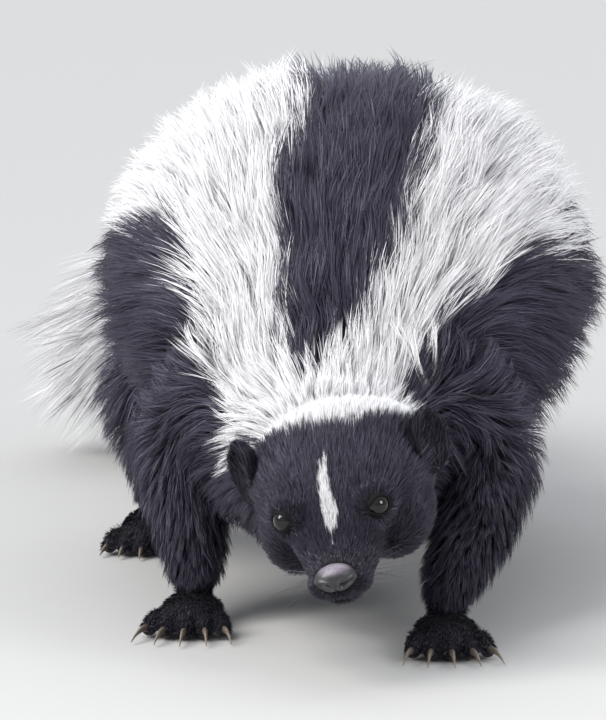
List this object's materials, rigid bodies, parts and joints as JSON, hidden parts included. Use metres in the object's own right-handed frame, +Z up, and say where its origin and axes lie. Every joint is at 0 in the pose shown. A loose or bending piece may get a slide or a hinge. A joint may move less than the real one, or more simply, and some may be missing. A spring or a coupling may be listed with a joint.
{
  "type": "striped skunk figure",
  "caption": "Life-size striped skunk, a still museum-style model walking with its head low, back arched and bushy tail swept aside.",
  "frame": {"origin": "on the floor, under the middle of the bounding box", "axes": "+Z up, -Y the way the animal faces, +X its left side"},
  "size_m": [0.221, 0.5142, 0.1866],
  "materials": {
    "black_fur": "long soft black fur",
    "white_fur": "long soft white fur",
    "nose_skin": "moist bare skin",
    "eye_brown": "wet and glossy",
    "horn": "satin horn"
  },
  "bodies": {
    "root": {"head": "black_fur", "nose": "nose_skin", "eye_left": "eye_brown", "eye_right": "eye_brown", "ear_left": "black_fur", "ear_right": "black_fur", "neck": "white_fur", "torso_front": "black_fur", "torso_rear": "black_fur", "tail_base": "black_fur", "tail_middle": "black_fur", "tail_tip": "white_fur", "foreleg_left": "black_fur", "foreleg_right": "black_fur", "hindleg_left": "black_fur", "hindleg_right": "black_fur", "forepaw_left": "black_fur", "forepaw_right": "black_fur", "hindpaw_left": "black_fur", "hindpaw_right": "black_fur", "claw_forepaw_left_1": "horn", "claw_forepaw_left_2": "horn", "claw_forepaw_left_3": "horn", "claw_forepaw_left_4": "horn", "claw_forepaw_left_5": "horn", "claw_forepaw_right_1": "horn", "claw_forepaw_right_2": "horn", "claw_forepaw_right_3": "horn", "claw_forepaw_right_4": "horn", "claw_forepaw_right_5": "horn", "claw_hindpaw_left_1": "horn", "claw_hindpaw_left_2": "horn", "claw_hindpaw_left_3": "horn", "claw_hindpaw_left_4": "horn", "claw_hindpaw_left_5": "horn", "claw_hindpaw_right_1": "horn", "claw_hindpaw_right_2": "horn", "claw_hindpaw_right_3": "horn", "claw_hindpaw_right_4": "horn", "claw_hindpaw_right_5": "horn"}
  },
  "joints": []
}
